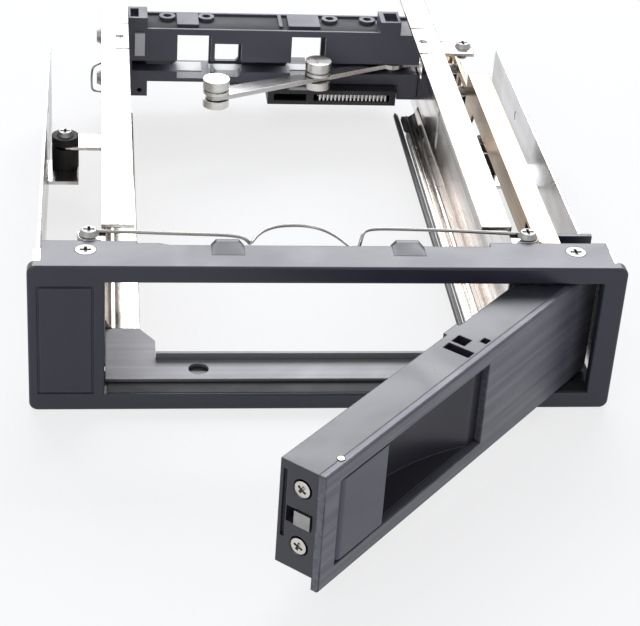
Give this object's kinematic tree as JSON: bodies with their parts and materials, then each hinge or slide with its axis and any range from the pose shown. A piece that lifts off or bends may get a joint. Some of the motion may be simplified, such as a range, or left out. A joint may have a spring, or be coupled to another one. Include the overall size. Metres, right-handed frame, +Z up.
{
  "type": "hot swap drive cage",
  "caption": "Trayless drive cage: black front frame with a swinging door, bright inner rails, outer side plates, rear socket and an eject lever driven by the door",
  "frame": {"origin": "on the underside, at the middle of the front frame's width, on the plane of the frame's back face (the bay stop)", "axes": "+X to the right seen from the front, +Y to the rear, +Z up"},
  "size_m": [0.1484, 0.2692, 0.0431],
  "materials": {
    "black_plastic": "fine satin moulded",
    "door_face": "brushed, dark satin",
    "door_plastic": "satin moulded",
    "bright_steel": "polished, faint grain",
    "zinc_steel": "rolled zinc",
    "screw_steel": "nickel plated",
    "rubber": "dull",
    "white_nylon": "smooth",
    "board": "solder mask",
    "contact": "gold flash",
    "spring_wire": "drawn",
    "clear_guide": "milky clear"
  },
  "bodies": {
    "cage": {"bezel": "black_plastic", "collar_screws": "screw_steel", "cage_rail_left": "bright_steel", "cage_rail_right": "bright_steel", "front_cross_strip": "bright_steel", "side_plate_left": "zinc_steel", "side_plate_right": "zinc_steel", "grommet_left": "rubber", "grommet_right": "rubber", "grommet_screws": "screw_steel", "spring_screws": "screw_steel", "retaining_spring": "spring_wire", "hinge_pin": "screw_steel", "guide_rail": "bright_steel", "guide_rivets": "screw_steel", "guide_screw": "screw_steel", "rear_bracket": "black_plastic", "lever_pivot_pin": "screw_steel", "rear_bracket_screws": "screw_steel", "backplane_board": "board", "board_screws": "screw_steel", "sata_connector": "black_plastic", "sata_contacts": "contact", "cable_socket": "black_plastic", "wire_header": "white_nylon", "light_pipe": "clear_guide", "slide_strip": "black_plastic"},
    "door": {"door_body": "door_plastic", "door_front_plate": "door_face", "door_tip_screws": "screw_steel", "flap_pin": "screw_steel", "crank_pin": "screw_steel"},
    "grip": {"flap_handle": "door_plastic"},
    "bolt": {"latch_bolt": "screw_steel"},
    "push_bar": {"push_bar": "bright_steel"},
    "lever": {"eject_lever": "bright_steel", "link_pin": "screw_steel", "roller_pins": "screw_steel"},
    "outer_roller": {"outer_roller": "bright_steel"},
    "inner_roller": {"inner_roller": "bright_steel"}
  },
  "joints": [
    {"name": "door_hinge", "type": "hinge", "parent": "cage", "child": "door", "pos_m": [0.0557, 0.0077, 0.02], "axis": [0, 0, 1], "range_deg": [-48.5, 41.5]},
    {"name": "grip_pivot", "type": "hinge", "parent": "door", "child": "grip", "pos_m": [-0.00569, -0.07497, 0.021], "axis": [0, 0, -1], "range_deg": [0, 28.4], "stiffness_Nm_per_rad": 0.01},
    {"name": "latch_slide", "type": "slide", "parent": "door", "child": "bolt", "axis": [0.6626, 0.749, 0], "range_m": [0, 0.0025]},
    {"name": "push_bar_slide", "type": "slide", "parent": "cage", "child": "push_bar", "axis": [0, 1, 0], "range_m": [-0.005, 0.0043]},
    {"name": "lever_pivot", "type": "hinge", "parent": "cage", "child": "lever", "pos_m": [0.0387, 0.1686, 0.02075], "axis": [0, 0, 1], "range_deg": [-24.6, 21.1]},
    {"name": "outer_roller_spin", "type": "hinge", "parent": "lever", "child": "outer_roller", "pos_m": [-0.02054, 0.14185, 0.021], "axis": [0, 0, 1], "continuous": true},
    {"name": "inner_roller_spin", "type": "hinge", "parent": "lever", "child": "inner_roller", "pos_m": [0.01309, 0.15704, 0.021], "axis": [0, 0, 1], "continuous": true}
  ],
  "couplings": [
    {"joint": "grip_pivot", "follows": "latch_slide", "rad_per_m": 196.08},
    {"joint": "push_bar_slide", "follows": "door_hinge", "m_per_rad": 0.00567},
    {"joint": "lever_pivot", "follows": "door_hinge", "ratio": 0.5}
  ]
}
